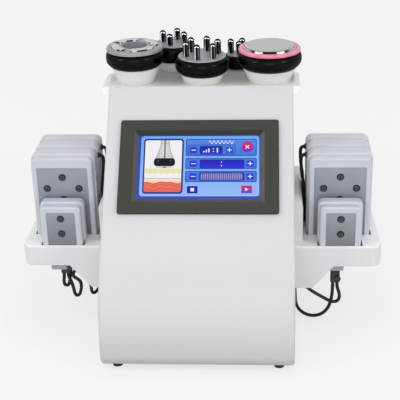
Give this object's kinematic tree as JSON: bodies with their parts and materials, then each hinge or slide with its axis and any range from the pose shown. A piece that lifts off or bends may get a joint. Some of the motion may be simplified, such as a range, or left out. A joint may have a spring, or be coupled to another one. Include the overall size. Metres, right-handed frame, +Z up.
{
  "type": "cavitation slimming machine",
  "caption": "Desk-top body-treatment machine: curved white cabinet with a sloping touch screen, handpieces standing in a top tray and laser pads in side wings.",
  "frame": {"origin": "on the desk, under the middle of the cabinet's width and depth", "axes": "+X to the right of a person facing the screen, along the wings; +Y to the rear panel; +Z up"},
  "size_m": [0.4652, 0.4115, 0.3506],
  "materials": {
    "cabinet_white": "satin moulded plastic",
    "tray_white": "satin moulded plastic",
    "handle_white": "glossy moulded plastic",
    "soft_rubber": "satin rubber",
    "face_grey": "satin",
    "chrome": "polished",
    "head_steel": "fine turned",
    "light_ring": "frosted",
    "bezel_grey": "fine matte",
    "display": "lit screen",
    "pad_white": "satin",
    "pad_window": "tinted window",
    "lead_black": "satin",
    "fitting_black": "moulded",
    "fitting_steel": "plated",
    "board_green": "circuit board",
    "inner_metal": "plated"
  },
  "bodies": {
    "root": {"base_plate": "cabinet_white", "cover_screws": "fitting_steel", "display_panel": "display", "fan_frame": "fitting_black", "feet": "soft_rubber", "front_cover": "cabinet_white", "handpiece_sockets": "fitting_steel", "lead_clips": "fitting_black", "lead_glands": "fitting_black", "left_link_lead": "lead_black", "left_pad_leads": "lead_black", "left_side_panel": "cabinet_white", "left_wing": "cabinet_white", "main_board": "board_green", "power_inlet": "fitting_black", "power_supply": "inner_metal", "rear_panel": "cabinet_white", "right_link_lead": "lead_black", "right_pad_leads": "lead_black", "right_side_panel": "cabinet_white", "right_wing": "cabinet_white", "screen_bezel": "bezel_grey", "top_tray": "tray_white", "transformer": "inner_metal", "vacuum_pump": "inner_metal"},
    "vacuum_head": {"vacuum_head_shell": "handle_white", "vacuum_head_ring": "soft_rubber", "vacuum_head_face": "face_grey", "vacuum_head_electrodes": "chrome"},
    "six_rod_head": {"six_rod_head_shell": "handle_white", "six_rod_head_ring": "soft_rubber", "six_rod_head_rods": "chrome"},
    "cavitation_head": {"cavitation_head_shell": "handle_white", "cavitation_head_ring": "soft_rubber", "cavitation_head_light_ring": "light_ring", "cavitation_head_disc": "head_steel"},
    "four_rod_head": {"four_rod_head_shell": "handle_white", "four_rod_head_ring": "soft_rubber", "four_rod_head_rods": "chrome"},
    "three_rod_head": {"three_rod_head_shell": "handle_white", "three_rod_head_ring": "soft_rubber", "three_rod_head_rods": "chrome"},
    "left_large_pad_1": {"left_large_pad_1_case": "pad_white", "left_large_pad_1_window": "pad_window"},
    "left_large_pad_2": {"left_large_pad_2_case": "pad_white", "left_large_pad_2_window": "pad_window"},
    "left_large_pad_3": {"left_large_pad_3_case": "pad_white", "left_large_pad_3_window": "pad_window"},
    "left_small_pad": {"left_small_pad_case": "pad_white", "left_small_pad_window": "pad_window"},
    "right_large_pad_1": {"right_large_pad_1_case": "pad_white", "right_large_pad_1_window": "pad_window"},
    "right_large_pad_2": {"right_large_pad_2_case": "pad_white", "right_large_pad_2_window": "pad_window"},
    "right_large_pad_3": {"right_large_pad_3_case": "pad_white", "right_large_pad_3_window": "pad_window"},
    "right_small_pad": {"right_small_pad_case": "pad_white", "right_small_pad_window": "pad_window"},
    "fan": {"fan_rotor": "fitting_black"},
    "rocker": {"power_rocker": "fitting_black"}
  },
  "joints": [
    {"name": "vacuum_head_lift", "type": "slide", "parent": "root", "child": "vacuum_head", "axis": [0, 0, 1], "range_m": [0, 0.13]},
    {"name": "six_rod_head_lift", "type": "slide", "parent": "root", "child": "six_rod_head", "axis": [0, 0, 1], "range_m": [0, 0.13]},
    {"name": "cavitation_head_lift", "type": "slide", "parent": "root", "child": "cavitation_head", "axis": [0, 0, 1], "range_m": [0, 0.13]},
    {"name": "four_rod_head_lift", "type": "slide", "parent": "root", "child": "four_rod_head", "axis": [0, 0, 1], "range_m": [0, 0.13]},
    {"name": "three_rod_head_lift", "type": "slide", "parent": "root", "child": "three_rod_head", "axis": [0, 0, 1], "range_m": [0, 0.13]},
    {"name": "left_large_pad_1_lift", "type": "slide", "parent": "root", "child": "left_large_pad_1", "axis": [0, 0, 1], "range_m": [0, 0.06]},
    {"name": "left_large_pad_2_lift", "type": "slide", "parent": "root", "child": "left_large_pad_2", "axis": [0, 0, 1], "range_m": [0, 0.06]},
    {"name": "left_large_pad_3_lift", "type": "slide", "parent": "root", "child": "left_large_pad_3", "axis": [0, 0, 1], "range_m": [0, 0.06]},
    {"name": "left_small_pad_lift", "type": "slide", "parent": "root", "child": "left_small_pad", "axis": [0, 0, 1], "range_m": [0, 0.06]},
    {"name": "right_large_pad_1_lift", "type": "slide", "parent": "root", "child": "right_large_pad_1", "axis": [0, 0, 1], "range_m": [0, 0.06]},
    {"name": "right_large_pad_2_lift", "type": "slide", "parent": "root", "child": "right_large_pad_2", "axis": [0, 0, 1], "range_m": [0, 0.06]},
    {"name": "right_large_pad_3_lift", "type": "slide", "parent": "root", "child": "right_large_pad_3", "axis": [0, 0, 1], "range_m": [0, 0.06]},
    {"name": "right_small_pad_lift", "type": "slide", "parent": "root", "child": "right_small_pad", "axis": [0, 0, 1], "range_m": [0, 0.06]},
    {"name": "fan_spin", "type": "hinge", "parent": "root", "child": "fan", "pos_m": [-0.052, 0.1625, 0.175], "axis": [0, 1, 0], "continuous": true},
    {"name": "rocker_tilt", "type": "hinge", "parent": "root", "child": "rocker", "pos_m": [0.028, 0.178, 0.0595], "axis": [1, 0, 0], "range_deg": [-14, 0]}
  ]
}
